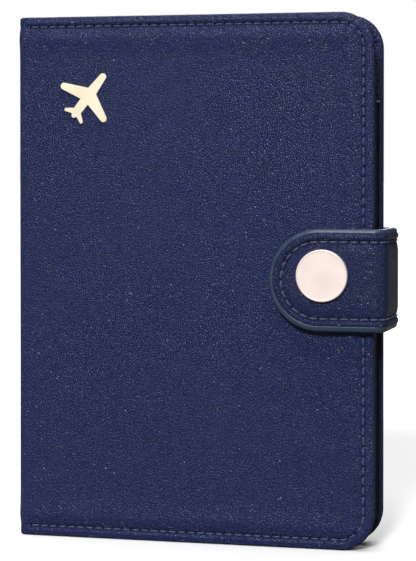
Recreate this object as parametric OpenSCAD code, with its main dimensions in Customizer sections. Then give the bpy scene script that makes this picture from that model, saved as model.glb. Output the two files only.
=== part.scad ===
// Passport holder wallet: a soft-padded leather cover that folds like a book,
// closed by a strap with a press stud.
// The wallet stands on its bottom edge. +X points from the spine to the fore edge,
// the front cover faces -Y and +Z is up. Lengths are in millimetres.

/* [Wallet] */
// Height of the covers
cover_h = 145; // [125:1:170]
// Width of the covers from the spine to the fore edge
cover_w = 101; // [97:1:120]
// Thickness of the closed wallet over both covers
closed_t = 16; // [15.8:0.1:24]
// Radius of the corners at the fore edge
corner_r = 9.5; // [7:0.5:14]
// Outer radius of the leather where it folds round the spine
fold_r = 2.5; // [2:0.1:3.5]

/* [Cover layers] */
// Thickness of the outer leather
skin_t = 0.9; // [0.8:0.1:1.2]
// Thickness of the foam pad under the outer leather
pad_t = 0.5; // [0.3:0.1:0.8]
// Thickness of the stiffening board
board_t = 0.8; // [0.5:0.1:1]
// Thickness of the lining, and of the leather hem beside it
lining_t = 0.4; // [0.3:0.1:0.5]
// Width of the hem that is turned over the edge of the board
hem_w = 2.4; // [1.6:0.1:4]

/* [Stitching] */
// Distance from the edge of the cover to its stitch line
stitch_inset = 2.9; // [2.5:0.1:4]
// Distance from one stitch to the next
stitch_pitch = 2.65; // [2.2:0.05:4]
// Length of one stitch
stitch_len = 1.9; // [1:0.1:2]
// Radius of the thread
thread_r = 0.22; // [0.15:0.01:0.24]

/* [Pockets] */
// Distance from the edge of the cover to the edges of the pockets
pocket_inset = 1.1; // [0.8:0.1:2]
// Free depth of the passport pocket
passport_gap = 4.2; // [3:0.1:4.3]
// Height of the mouth of the passport pocket
passport_mouth = 122; // [100:1:124]
// Thickness of the pocket leather
pocket_t = 0.5; // [0.4:0.1:0.6]
// Radius of the thumb notch in the mouth of the passport pocket
notch_r = 9; // [6:0.5:12]
// Height of the mouth of the lowest card slot
slot_mouth = 54; // [50:1:60]
// Rise from one slot mouth to the next
slot_step = 11; // [8:0.5:11]

/* [Strap] */
// Width of the strap
strap_w = 27.6; // [24:0.2:32]
// Thickness of the strap
strap_t = 2.2; // [2:0.1:2.4]
// Height of the centre line of the strap
strap_z = 72.9; // [60:0.1:90]
// Reach of the strap over the front cover, from the fore edge to the round tip
tongue_len = 28.2; // [26:0.2:36]
// Reach of the sewn end of the strap over the back cover
root_len = 27; // [20:1:45]
// Space between the strap and the front cover
strap_lift = 1.6; // [1.6:0.1:2.4]
// Space between the strap and the fore edge
strap_side = 1.5; // [1:0.1:3]
// Outer radius of the bends of the strap
strap_r = 3.5; // [3.5:0.1:4]

/* [Press stud] */
// Diameter of the cap
cap_d = 14; // [12.5:0.1:15]
// Thickness of the cap
cap_t = 1.4; // [1:0.1:2]
// Distance from the fore edge to the centre of the press stud
snap_inset = 13.3; // [12:0.1:16]
// Rise of the press stud above the centre line of the strap
snap_rise = 1.3; // [0:0.1:1.6]

/* [Emblem] */
// Thickness of the metal aeroplane emblem
emblem_t = 0.5; // [0.3:0.1:1]
// Size of the emblem against its drawn size
emblem_scale = 1; // [0.7:0.05:1.2]

/* [Hidden] */
$fn = 64;

navy = "#2c3252";
navy_dark = "#1f2540";
lining_colour = "#3a4163";
edge_blue = "#4d6280";
thread_blue = "#5a6388";
board_colour = "#b8a98c";
foam_colour = "#d8d6cf";
rose_gold = "#e9cdbf";
cream_gold = "#f0dfb8";
steel = "#b9b6b0";
film_colour = "#dfe8ee";

// small clearance between layers whose curved edges would otherwise coincide
ease = 0.1;
// how far a cutter runs past the face that it cuts
past = 1;

cover_t = skin_t + pad_t + board_t + lining_t;
strap_out = strap_side + strap_t;
front_out = strap_lift + strap_t + cap_t;
cover_x0 = -(cover_w + strap_out) / 2;
cover_x1 = cover_x0 + cover_w;
front_y = front_out - (front_out + closed_t + strap_t) / 2;
back_y = front_y + closed_t;
panel_x0 = cover_x0 + fold_r;
groove_w = 3 * thread_r;
groove_d = 2 * thread_r + 0.06;

spine_t = skin_t + board_t + lining_t;
pocket_x0 = cover_x0 + 6;
gusset_t = 0.8;
slot_gap = 0.1;
film_t = 0.2;
bartack_r = 0.15;
slot_row_drop = 2;
slot_row_x0 = pocket_x0 + 3;
slot_row_x1 = cover_x1 - pocket_inset - 4;
// depths under a pocket's face of a stitch row's groove and of its thread's middle
row_groove_d = thread_r + 0.1;
row_sink = 0.09;

tongue_x0 = cover_x1 - tongue_len;
bend_x = cover_x1 + strap_side + strap_t - strap_r;
root_x0 = cover_x1 - root_len;
strap_front_y = front_y - strap_lift - strap_t;
strap_back_y = back_y + strap_t;
bead_r = strap_t / 2;
root_corner_r = 6;
face_t = 0.6 * strap_t;
inner_t = strap_t - face_t;
strap_stitch_inset = 3.5;

snap_x = cover_x1 - snap_inset;
snap_z = strap_z + snap_rise;
rim_w = 0.45;
rim_rise = 0.08;
rim_bevel = 0.22;
shank_r = 1.5;
shank_hole_r = 1.6;
socket_r = 5.3;
socket_low = 0.6;
socket_bore_r = 2.5;
socket_plate = 0.3;
spring_low = 0.85;
spring_h = 0.4;
spring_r = 2.75;
spring_bore_r = 1.85;
neck_r = 1.7;
head_r = 2.15;
flange_r = 4.2;
flange_t = 0.3;
post_r = 1.5;
post_tip_r = 0.9;
post_washer_r = 4;
post_washer_t = 0.5;
stud_top = 2;

// ---- helpers ----

// an outline drawn in X and Z, thickened along +Y from y0
module slab(y0, t) {
    translate([0, y0 + t, 0]) rotate([90, 0, 0]) linear_extrude(height = t) children();
}

// a layer of a cover, from depth d under its outer face; side is -1 for the front, 1 for the back
module layer(side, d, t) {
    slab(side < 0 ? front_y + d : back_y - d - t, t) children();
}

// the cover's outline, square at the spine and round at the fore edge
module cover_outline(inset = 0, x0 = panel_x0) {
    r = corner_r - inset;
    x1 = cover_x1 - inset;
    translate([x0, inset]) square([x1 - r - x0, cover_h - 2 * inset]);
    translate([x0, inset + r]) square([x1 - x0, cover_h - 2 * (inset + r)]);
    for (z = [inset + r, cover_h - inset - r]) translate([x1 - r, z]) circle(r);
}

// the part of a cover's outline between two heights
module outline_band(inset, x0, z0, z1) {
    intersection() {
        cover_outline(inset, x0);
        translate([x0, z0]) square([cover_w, z1 - z0]);
    }
}

// a rectangle with round corners
module round_rect(x0, z0, x1, z1, r) {
    translate([x0 + r, z0]) square([x1 - x0 - 2 * r, z1 - z0]);
    translate([x0, z0 + r]) square([x1 - x0, z1 - z0 - 2 * r]);
    for (x = [x0 + r, x1 - r]) for (z = [z0 + r, z1 - r]) translate([x, z]) circle(r);
}

// puts a turned shape on the press stud's axis, with its height measured outward
// from the front cover
module on_snap_axis(out = 0) {
    translate([snap_x, front_y - out, snap_z]) rotate([90, 0, 0]) children();
}

// a round hole on the press stud's axis between two heights outward from the front cover
module snap_hole(r, low, high) {
    on_snap_axis(low) cylinder(h = high - low, r = r);
}

// one stitch lying in the X-Z plane, its length turned by angle from +X
module stitch(x, y, z, angle) {
    translate([x, y, z]) rotate([0, 90 - angle, 0])
        cylinder(h = stitch_len, r = thread_r, center = true, $fn = 16);
}

// ---- cover stitch line: along the top, down the fore edge and back along the bottom ----

line_r = corner_r - stitch_inset;
line_x0 = panel_x0 + 1.2;
line_x1 = cover_x1 - corner_r;
run_top = line_x1 - line_x0;
run_arc = line_r * PI / 2;
run_side = cover_h - 2 * corner_r;
line_len = 2 * run_top + 2 * run_arc + run_side;
stitch_count = floor(line_len / stitch_pitch);

// position and direction of the point s millimetres along the line, as [x, z, angle]
function on_cover_line(s) =
    s < run_top ? [line_x0 + s, cover_h - stitch_inset, 0]
    : s < run_top + run_arc
        ? arc_point(line_x1, cover_h - corner_r, line_r, 90 - (s - run_top) / line_r * 180 / PI)
    : s < run_top + run_arc + run_side
        ? [cover_x1 - stitch_inset, cover_h - corner_r - (s - run_top - run_arc), -90]
    : s < run_top + 2 * run_arc + run_side
        ? arc_point(line_x1, corner_r, line_r,
            -(s - run_top - run_arc - run_side) / line_r * 180 / PI)
    : [line_x1 - (s - run_top - 2 * run_arc - run_side), stitch_inset, 180];

// a point on a circle walked clockwise, as [x, z, angle]
function arc_point(x, z, r, a) = [x + r * cos(a), z + r * sin(a), a - 90];

module cover_stitches(y) {
    for (i = [0:stitch_count - 1]) {
        p = on_cover_line((i + 0.5) * line_len / stitch_count);
        stitch(p.x, y, p[1], p[2]);
    }
}

// the groove that the stitch line lies in
module cover_groove(side) {
    layer(side, -past, past + groove_d) difference() {
        cover_outline(stitch_inset - groove_w / 2, panel_x0 - past);
        cover_outline(stitch_inset + groove_w / 2, panel_x0 - 2 * past);
    }
}

// ---- covers ----

// outer leather: a face, its edge wall and the hem turned over the board
module cover_skin(side) {
    difference() {
        layer(side, 0, cover_t) cover_outline();
        layer(side, skin_t, pad_t + board_t) cover_outline(skin_t, panel_x0 - past);
        layer(side, skin_t, cover_t) cover_outline(hem_w, panel_x0 - past);
        cover_groove(side);
    }
}

module front_leather() {
    color(navy) difference() {
        cover_skin(-1);
        snap_hole(post_r + ease, -skin_t - ease, past);
    }
}

module front_pad() {
    color(foam_colour) difference() {
        layer(-1, skin_t, pad_t) cover_outline(skin_t + ease);
        snap_hole(post_r + ease, -skin_t - pad_t - ease, 0);
    }
}

module front_board() {
    color(board_colour) difference() {
        layer(-1, skin_t + pad_t, board_t) cover_outline(skin_t + ease);
        snap_hole(post_r + ease, -cover_t, 0);
        snap_hole(post_washer_r + ease, -cover_t, post_washer_t + lining_t - cover_t);
    }
}

module front_lining() {
    color(lining_colour) layer(-1, cover_t - lining_t, lining_t) cover_outline(hem_w + ease);
}

module back_leather() {
    color(navy) cover_skin(1);
}

module back_pad() {
    color(foam_colour) layer(1, skin_t, pad_t) cover_outline(skin_t + ease);
}

module back_board() {
    color(board_colour) layer(1, skin_t + pad_t, board_t) cover_outline(skin_t + ease);
}

module back_lining() {
    color(lining_colour) layer(1, cover_t - lining_t, lining_t) cover_outline(hem_w + ease);
}

module front_stitching() {
    color(thread_blue) cover_stitches(front_y + thread_r);
}

module back_stitching() {
    color(thread_blue) cover_stitches(back_y - thread_r);
}

// ---- spine ----

// a block of the spine between two depths under its outer face, shortened at both ends
module spine_block(d, t, inset) {
    translate([cover_x0 + d, front_y + fold_r, inset])
        cube([t, closed_t - 2 * fold_r, cover_h - 2 * inset]);
}

module spine_leather() {
    color(navy) difference() {
        spine_block(0, spine_t, 0);
        translate([cover_x0 + skin_t, front_y, skin_t])
            cube([board_t, closed_t, cover_h - 2 * skin_t]);
        translate([cover_x0 + skin_t, front_y, hem_w])
            cube([spine_t, closed_t, cover_h - 2 * hem_w]);
    }
}

module spine_board() {
    color(board_colour) spine_block(skin_t, board_t, skin_t + ease);
}

module spine_lining() {
    color(lining_colour) spine_block(skin_t + board_t, lining_t, hem_w + ease);
}

// a quarter of a round bend standing along Z, in the quadrant given by its signs
module bend(x, y, r, t, sx, sy, z0, h) {
    translate([x, y, z0]) linear_extrude(height = h) intersection() {
        difference() {
            circle(r);
            circle(r - t);
        }
        translate([sx > 0 ? 0 : -r, sy > 0 ? 0 : -r]) square(r);
    }
}

module front_fold() {
    color(navy_dark) bend(panel_x0, front_y + fold_r, fold_r, skin_t, -1, -1, 0, cover_h);
}

module back_fold() {
    color(navy_dark) bend(panel_x0, back_y - fold_r, fold_r, skin_t, -1, 1, 0, cover_h);
}

// ---- card slots and window on the inside of the front cover ----

// depth of a slot under the front cover's outer face; the highest slot lies against the lining
function slot_depth(i) = cover_t + (2 - i) * (pocket_t + slot_gap);

// height of the mouth of slot i, counted from the lowest
function slot_top(i) = slot_mouth + i * slot_step;

// a groove along X for a stitch row, cut into the face of a pocket; y is that face
module row_groove(x0, x1, y, z) {
    translate([x0, y - row_groove_d, z - groove_w / 2])
        cube([x1 - x0, 2 * row_groove_d, groove_w]);
}

module card_slot(i) {
    z = slot_top(i);
    face_y = front_y + slot_depth(i) + pocket_t;
    color(navy) difference() {
        layer(-1, slot_depth(i), pocket_t) outline_band(pocket_inset, pocket_x0, 0, z);
        row_groove(slot_row_x0, slot_row_x1, face_y, z - slot_row_drop);
    }
}

module card_slot_lower() {
    card_slot(0);
}

module card_slot_middle() {
    card_slot(1);
}

module card_slot_upper() {
    card_slot(2);
}

window_z0 = slot_top(2) + 4;
window_frame_w = 9;

module id_window_frame() {
    color(navy) layer(-1, cover_t + film_t, pocket_t) difference() {
        outline_band(pocket_inset, pocket_x0, window_z0, cover_h);
        round_rect(pocket_x0 + window_frame_w, window_z0 + window_frame_w,
            cover_x1 - pocket_inset - window_frame_w, cover_h - window_frame_w, 3);
    }
}

module id_window_film() {
    color(film_colour, 0.5) layer(-1, cover_t, film_t)
        round_rect(pocket_x0 + 4, window_z0 + 4, cover_x1 - pocket_inset - 5, cover_h - 5, 3);
}

// a straight row of stitches along X
module stitch_row(x0, x1, y, z) {
    n = floor((x1 - x0) / stitch_pitch);
    for (i = [0:n - 1]) stitch(x0 + (i + 0.5) * (x1 - x0) / n, y, z, 0);
}

// stitch rows along the mouths of the card slots
module slot_stitching() {
    color(thread_blue) for (i = [0:2])
        stitch_row(slot_row_x0, slot_row_x1,
            front_y + slot_depth(i) + pocket_t - row_sink, slot_top(i) - slot_row_drop);
}

// ---- passport pocket on the inside of the back cover ----

pocket_d = cover_t + passport_gap;
pocket_face_y = back_y - pocket_d - pocket_t;
notch_x = (pocket_x0 + cover_x1 - pocket_inset) / 2;
// ends of the stitch rows on both sides of the thumb notch, as [from, to]
pocket_rows = [
    [pocket_x0 + 3, notch_x - notch_r - 2],
    [notch_x + notch_r + 2, cover_x1 - pocket_inset - 3],
];

// outline of the pocket, open at its mouth
module pocket_outline() {
    outline_band(pocket_inset, pocket_x0, 0, passport_mouth);
}

module passport_pocket() {
    color(navy) difference() {
        layer(1, pocket_d, pocket_t) difference() {
            pocket_outline();
            translate([notch_x, passport_mouth]) circle(notch_r);
        }
        for (row = pocket_rows)
            row_groove(row[0], row[1], pocket_face_y, passport_mouth - slot_row_drop);
    }
}

// side and bottom walls that hold the pocket's face off the lining
module pocket_gusset() {
    color(navy_dark) layer(1, cover_t, passport_gap) difference() {
        pocket_outline();
        outline_band(pocket_inset + gusset_t, pocket_x0 + gusset_t, 0, cover_h);
    }
}

module pocket_stitching() {
    color(thread_blue) for (row = pocket_rows)
        stitch_row(row[0], row[1], pocket_face_y + row_sink, passport_mouth - slot_row_drop);
}

// thread bars across the gusset at both ends of the mouth
module pocket_bartacks() {
    color(thread_blue)
        for (x = [pocket_x0 - bartack_r, cover_x1 - pocket_inset + bartack_r])
            translate([x, back_y - cover_t - 0.3, passport_mouth - 1]) rotate([90, 0, 0])
                cylinder(h = passport_gap - 0.6, r = bartack_r, $fn = 16);
}

// ---- emblem ----

// the point where the line from p touches a circle, on its right for side 1, left for -1
function touch(p, c, r, side) =
    let (d = c - p, a = atan2(d.y, d.x) - side * (asin(r / norm(d)) + 90))
    c + r * [cos(a), sin(a)];

// a tapered arm from a root edge a-b to a round tip
module arm(a, b, c, r) {
    polygon([a, touch(a, c, r, 1), c, touch(b, c, r, -1), b]);
    translate(c) circle(r);
}

// aeroplane seen from above, its nose along +X
module aeroplane() {
    arm([6.8, -1.45], [6.8, 1.45], [11.8, 0], 0.95);
    polygon([[6.8, -1.45], [6.8, 1.45], [0, 1.25], [-1.6, 0.95], [-1.6, -0.95], [0, -1.25]]);
    arm([-1.6, 0.95], [-1.6, -0.95], [-1.9, 0], 0.55);
    for (m = [0, 1]) mirror([0, m]) {
        arm([6.8, 1.4], [3.1, 1.2], [2.8, 7.3], 0.95);
        polygon([[6.8, 0], [6.8, 1.41], [3.1, 1.21], [3.1, 0]]);
        arm([0, 1.15], [-1.6, 0.85], [-1.9, 2.8], 0.45);
    }
}

emblem_x = cover_x0 + 17.8;
emblem_z = cover_h - 26.1;
emblem_turn = 51.5;

module plane_emblem() {
    color(cream_gold) layer(-1, -emblem_t, emblem_t)
        translate([emblem_x, emblem_z]) rotate(emblem_turn) scale(emblem_scale) aeroplane();
}

// ---- strap ----

// outline of the tongue, round at its tip
module tongue_outline(inset, x1 = bend_x) {
    r = strap_w / 2 - inset;
    x0 = tongue_x0 + strap_w / 2;
    translate([x0, strap_z]) circle(r);
    translate([x0, strap_z - r]) square([x1 - x0, 2 * r]);
}

// outline of the sewn end, with round corners
module root_outline(inset) {
    r = root_corner_r - inset;
    x0 = root_x0 + inset;
    z0 = strap_z - strap_w / 2 + inset;
    h = strap_w - 2 * inset;
    translate([x0 + r, z0]) square([bend_x - x0 - r, h]);
    translate([x0, z0 + r]) square([r + past, h - 2 * r]);
    for (z = [z0 + r, z0 + h - r]) translate([x0 + r, z]) circle(r);
}

// half-round painted bead along X on the strap's lower or upper edge; up is -1 or 1
module bead_x(x0, x1, y, up) {
    translate([x0, y, strap_z + up * (strap_w / 2 - bead_r)]) rotate([0, 90, 0])
        intersection() {
            cylinder(h = x1 - x0, r = bead_r);
            translate([up > 0 ? -bead_r : 0, -bead_r, 0]) cube([bead_r, 2 * bead_r, x1 - x0]);
        }
}

// half-round bead along an arc about the Y axis direction, from a1 to a2 degrees
module bead_arc(x, y, z, r, a1, a2) {
    translate([x, y, z]) rotate([90, 0, 0]) rotate([0, 0, a1])
        rotate_extrude(angle = a2 - a1) translate([r, 0]) intersection() {
            circle(bead_r);
            translate([0, -bead_r]) square([bead_r, 2 * bead_r]);
        }
}

module strap_tongue_leather() {
    color(navy) difference() {
        slab(strap_front_y, face_t) tongue_outline(bead_r + ease / 2);
        snap_hole(shank_hole_r, strap_lift, strap_lift + strap_t + past);
        slab(strap_front_y - past, past + groove_d) difference() {
            tongue_outline(strap_stitch_inset - groove_w / 2, bend_x + past);
            tongue_outline(strap_stitch_inset + groove_w / 2, bend_x + 2 * past);
        }
    }
}

module strap_tongue_lining() {
    color(navy_dark) difference() {
        slab(strap_front_y + face_t, inner_t) tongue_outline(bead_r + ease / 2);
        snap_hole(socket_r + 2 * ease, 0, strap_lift + strap_t);
    }
}

module strap_tongue_edge() {
    y = strap_front_y + bead_r;
    x = tongue_x0 + strap_w / 2;
    color(edge_blue) union() {
        bead_arc(x, y, strap_z, strap_w / 2 - bead_r, 90, 270);
        for (up = [-1, 1]) bead_x(x, bend_x, y, up);
    }
}

// the groove of the sewn end's stitch line, along both edges and across the end
module root_groove_outline() {
    x0 = root_x0 + strap_stitch_inset - groove_w / 2;
    for (up = [-1, 1]) translate([x0, strap_z + up * tongue_line_r - groove_w / 2])
        square([bend_x + past - x0, groove_w]);
    translate([x0, strap_z - tongue_line_r]) square([groove_w, 2 * tongue_line_r]);
}

module strap_root_leather() {
    color(navy) difference() {
        slab(strap_back_y - face_t, face_t) root_outline(bead_r + ease / 2);
        slab(strap_back_y - groove_d, groove_d + past) root_groove_outline();
    }
}

module strap_root_lining() {
    color(navy_dark) slab(back_y, inner_t) root_outline(bead_r + ease / 2);
}

module strap_root_edge() {
    y = back_y + bead_r;
    r = root_corner_r - bead_r;
    x = root_x0 + root_corner_r;
    dz = strap_w / 2 - root_corner_r;
    color(edge_blue) union() {
        bead_arc(x, y, strap_z + dz, r, 90, 180);
        bead_arc(x, y, strap_z - dz, r, 180, 270);
        for (up = [-1, 1]) bead_x(x, bend_x, y, up);
        translate([root_x0 + bead_r, y, strap_z - dz]) intersection() {
            cylinder(h = 2 * dz, r = bead_r);
            translate([-bead_r, -bead_r, 0]) cube([bead_r, 2 * bead_r, 2 * dz]);
        }
    }
}

bridge_x0 = cover_x1 + strap_side;
bridge_y0 = strap_front_y + strap_r;
bridge_y1 = strap_back_y - strap_r;

// a block of the bridge between two depths under its outer face
module bridge_block(d, t) {
    h = strap_w - 2 * bead_r;
    translate([bridge_x0 + strap_t - d - t, bridge_y0, strap_z - h / 2])
        cube([t, bridge_y1 - bridge_y0, h]);
}

module strap_bridge_leather() {
    color(navy) difference() {
        bridge_block(0, face_t);
        for (up = [-1, 1])
            translate([bridge_x0 + strap_t - groove_d, bridge_y0 - past,
                strap_z + up * tongue_line_r - groove_w / 2])
                cube([groove_d + past, bridge_y1 - bridge_y0 + 2 * past, groove_w]);
    }
}

module strap_bridge_lining() {
    color(navy_dark) bridge_block(face_t, inner_t);
}

module strap_bridge_edge() {
    len = bridge_y1 - bridge_y0;
    color(edge_blue) for (up = [-1, 1])
        translate([bridge_x0 + bead_r, bridge_y0, strap_z + up * (strap_w / 2 - bead_r)])
            intersection() {
                rotate([-90, 0, 0]) cylinder(h = len, r = bead_r);
                translate([-bead_r, 0, up > 0 ? 0 : -bead_r]) cube([2 * bead_r, len, bead_r]);
            }
}

module strap_back_bend() {
    color(navy) bend(bend_x, bridge_y1, strap_r, strap_t, 1, 1, strap_z - strap_w / 2, strap_w);
}

module strap_front_bend() {
    color(navy) bend(bend_x, bridge_y0, strap_r, strap_t, 1, -1, strap_z - strap_w / 2, strap_w);
}

// ---- strap stitching ----

tongue_line_r = strap_w / 2 - strap_stitch_inset;
tongue_line_x = tongue_x0 + strap_w / 2;
tongue_run = bend_x - 0.6 - tongue_line_x;
tongue_line_len = 2 * tongue_run + PI * tongue_line_r;
tongue_stitch_count = floor(tongue_line_len / stitch_pitch);

// position and direction of the point s millimetres along the tongue's line
function on_tongue_line(s) =
    s < tongue_run ? [tongue_line_x + tongue_run - s, strap_z - tongue_line_r, 180]
    : s < tongue_run + PI * tongue_line_r
        ? arc_point(tongue_line_x, strap_z, tongue_line_r,
            270 - (s - tongue_run) / tongue_line_r * 180 / PI)
    : [tongue_line_x + s - tongue_run - PI * tongue_line_r, strap_z + tongue_line_r, 0];

module strap_tongue_stitching() {
    color(thread_blue) for (i = [0:tongue_stitch_count - 1]) {
        p = on_tongue_line((i + 0.5) * tongue_line_len / tongue_stitch_count);
        stitch(p.x, strap_front_y + thread_r, p[1], p[2]);
    }
}

// rows along both edges of the sewn end, and one across the end
module strap_root_stitching() {
    y = strap_back_y - thread_r;
    x0 = root_x0 + strap_stitch_inset;
    across = floor(2 * tongue_line_r / stitch_pitch);
    color(thread_blue) {
        for (up = [-1, 1]) stitch_row(x0, bend_x - 0.6, y, strap_z + up * tongue_line_r);
        for (i = [0:across - 1])
            stitch(x0, y, strap_z - tongue_line_r + (i + 0.5) * 2 * tongue_line_r / across, 90);
    }
}

module strap_bridge_stitching() {
    n = floor((bridge_y1 - bridge_y0) / stitch_pitch);
    color(thread_blue) for (up = [-1, 1]) for (i = [0:n - 1])
        translate([bridge_x0 + strap_t - thread_r,
            bridge_y0 + (i + 0.5) * (bridge_y1 - bridge_y0) / n,
            strap_z + up * tongue_line_r]) rotate([90, 0, 0])
                cylinder(h = stitch_len, r = thread_r, center = true, $fn = 16);
}

// ---- press stud ----

// flat face with a thin raised rim, and the shank that it is riveted with
module snap_cap() {
    r = cap_d / 2;
    face = cap_t - rim_rise;
    color(rose_gold) union() {
        on_snap_axis(strap_lift + strap_t) rotate_extrude()
            polygon([[0, 0], [r - ease, 0], [r, ease], [r, cap_t - rim_bevel], [r - rim_bevel, cap_t],
                [r - rim_w, cap_t], [r - rim_w - rim_rise, face], [0, face]]);
        snap_hole(shank_r, strap_lift + inner_t - socket_plate, strap_lift + strap_t);
    }
}

module snap_socket() {
    top = strap_lift + inner_t;
    color(steel) difference() {
        snap_hole(socket_r, socket_low, top);
        snap_hole(socket_bore_r, 0, top - socket_plate);
        snap_hole(spring_r + 2 * ease, spring_low, spring_low + spring_h);
        snap_hole(shank_hole_r, socket_low, top + past);
    }
}

// split ring that grips the stud's neck
module snap_spring() {
    low = spring_low + ease / 2;
    high = spring_low + spring_h - ease / 2;
    color(steel) difference() {
        snap_hole(spring_r, low, high);
        snap_hole(spring_bore_r, low - past, high + past);
        on_snap_axis(low - past) translate([0, -neck_r / 2, 0])
            cube([2 * spring_r, neck_r, high - low + 2 * past]);
    }
}

module snap_stud() {
    color(rose_gold) on_snap_axis() rotate_extrude()
        polygon([[post_tip_r + ease, 0], [flange_r, 0], [flange_r, flange_t], [neck_r, flange_t],
            [neck_r, 1.3], [head_r, 1.5], [head_r, 1.7], [neck_r, stud_top],
            [post_tip_r + ease, stud_top]]);
}

// rivet that holds the stud, its washer under the lining
module snap_post() {
    low = lining_t - cover_t;
    color(steel) union() {
        snap_hole(post_washer_r, low, low + post_washer_t);
        snap_hole(post_r, low, 0);
        snap_hole(post_tip_r, low, stud_top - ease);
    }
}

front_leather();
front_pad();
front_board();
front_lining();
back_leather();
back_pad();
back_board();
back_lining();
spine_leather();
spine_board();
spine_lining();
front_fold();
back_fold();
front_stitching();
back_stitching();
card_slot_lower();
card_slot_middle();
card_slot_upper();
id_window_frame();
id_window_film();
slot_stitching();
passport_pocket();
pocket_gusset();
pocket_stitching();
pocket_bartacks();
plane_emblem();
strap_root_leather();
strap_root_lining();
strap_root_edge();
strap_bridge_leather();
strap_bridge_lining();
strap_bridge_edge();
strap_tongue_leather();
strap_tongue_lining();
strap_tongue_edge();
strap_back_bend();
strap_front_bend();
strap_root_stitching();
strap_bridge_stitching();
strap_tongue_stitching();
snap_cap();
snap_socket();
snap_spring();
snap_stud();
snap_post();
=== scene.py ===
"""Looks of the passport holder wallet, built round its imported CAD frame.

Lengths below are in millimetres and become metres where a mesh is made. A sheet of leather is
laid out flat first: u runs along it from its open end, z is the height, and h is the height
over the leather's outer face. A wrap turns (u, z, h) into a point of the row frame.
"""
import math
import random

import bmesh
import bpy
import numpy as np
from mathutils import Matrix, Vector


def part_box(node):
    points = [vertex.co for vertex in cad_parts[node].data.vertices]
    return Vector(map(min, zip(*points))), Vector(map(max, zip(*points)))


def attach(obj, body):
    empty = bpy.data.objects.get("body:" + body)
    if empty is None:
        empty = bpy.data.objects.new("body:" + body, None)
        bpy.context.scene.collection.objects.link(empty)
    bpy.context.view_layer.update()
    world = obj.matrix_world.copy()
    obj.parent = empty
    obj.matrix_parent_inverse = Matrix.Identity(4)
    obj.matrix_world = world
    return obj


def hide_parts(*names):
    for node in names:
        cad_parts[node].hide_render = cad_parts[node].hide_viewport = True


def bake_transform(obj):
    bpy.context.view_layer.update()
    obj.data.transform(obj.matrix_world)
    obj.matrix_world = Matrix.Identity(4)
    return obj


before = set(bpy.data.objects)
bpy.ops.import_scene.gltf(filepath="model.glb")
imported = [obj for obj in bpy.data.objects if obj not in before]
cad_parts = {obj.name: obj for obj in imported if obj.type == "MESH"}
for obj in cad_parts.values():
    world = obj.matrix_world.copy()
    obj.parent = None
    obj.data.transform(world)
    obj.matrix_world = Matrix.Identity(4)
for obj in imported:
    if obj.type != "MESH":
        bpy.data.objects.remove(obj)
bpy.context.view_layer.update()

MM = 0.001
HALF_PI = math.pi / 2
MERGE = 3e-6


def box_mm(node):
    """Lowest and highest corner of a CAD node, in millimetres."""
    low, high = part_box(node)
    return np.array(low) / MM, np.array(high) / MM


# ---- sizes read from the frame ----

FRONT_LO, FRONT_HI = box_mm("front_leather")
BACK_HI = box_mm("back_leather")[1]
SPINE_LO, SPINE_HI = box_mm("spine_leather")
COVER_H = FRONT_HI[2]
FORE_X = FRONT_HI[0]
PANEL_X0 = FRONT_LO[0]
FOLD_R = PANEL_X0 - SPINE_LO[0]
FOLD_ARC = FOLD_R * HALF_PI
MID_Y = (FRONT_LO[1] + BACK_HI[1]) / 2
HALF_SPINE = (SPINE_HI[1] - SPINE_LO[1]) / 2
FLAT_U = HALF_SPINE + FOLD_ARC
COVER_U1 = FLAT_U + FORE_X - PANEL_X0
COVER_T = FRONT_HI[1] - FRONT_LO[1]
SPINE_T = SPINE_HI[0] - SPINE_LO[0]
CORNER_R = 9.5
HEM_W = 2.4
LINING_T = 0.4
SKIN_T = 0.9

BRIDGE_LO, BRIDGE_HI = box_mm("strap_bridge_leather")
TONGUE_LO, TONGUE_HI = box_mm("strap_tongue_edge")
ROOT_LO = box_mm("strap_root_edge")[0]
BEND_LO, BEND_HI = box_mm("strap_front_bend")
STRAP_Z0, STRAP_Z1 = TONGUE_LO[2], TONGUE_HI[2]
STRAP_W = STRAP_Z1 - STRAP_Z0
STRAP_R = BEND_HI[0] - BEND_LO[0]
STRAP_T = TONGUE_HI[1] - TONGUE_LO[1]
BEND_X = BEND_LO[0]
HALF_BRIDGE = (BRIDGE_HI[1] - BRIDGE_LO[1]) / 2
BRIDGE_Y = (BRIDGE_HI[1] + BRIDGE_LO[1]) / 2
STRAP_FLAT_U = HALF_BRIDGE + STRAP_R * HALF_PI
ROOT_CORNER_R = 6.0
CAP_LO, CAP_HI = box_mm("snap_cap")
CAP_X, CAP_Z = (CAP_LO[0] + CAP_HI[0]) / 2, (CAP_LO[2] + CAP_HI[2]) / 2
CAP_R = (CAP_HI[0] - CAP_LO[0]) / 2

# ---- stitching ----

THREAD_R = 0.22
STITCH_IN = 2.9
STRAP_STITCH_IN = 3.5
STITCH_PITCH = 2.66
STRAP_STITCH_PITCH = 2.7
ROW_STITCH_PITCH = 2.65
STITCH_GAP = 0.12
ROW_STITCH_GAP = 0.07
HOLE_R, HOLE_DEPTH = 0.40, 0.44
# Depths in mm for the painted shade in the needle holes: it starts below HOLE_LIGHT_ABOVE, is full
# below HOLE_DARK_FROM and stops below HOLE_DEEPEST.
HOLE_LIGHT_ABOVE, HOLE_DARK_FROM, HOLE_DEEPEST = 0.40, 0.75, 0.88
STRAP_HOLE_R, STRAP_HOLE_DEPTH = 0.38, 0.40
FINE = 8


# ---- wraps: from the flat leather to the row frame ----

def wrap_cover(side):
    """Round the spine: side is -1 for the front half and 1 for the back half."""
    def wrap(u, z, h):
        u, z, h = np.broadcast_arrays(u, z, h)
        turn = np.clip((u - HALF_SPINE) / FOLD_R, 0, HALF_PI)
        past = np.maximum(u - FLAT_U, 0)
        x = PANEL_X0 - (FOLD_R + h) * np.cos(turn) + past
        y = MID_Y + side * (np.minimum(u, HALF_SPINE) + (FOLD_R + h) * np.sin(turn))
        return np.stack([x, y, z], -1)
    return wrap


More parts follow.
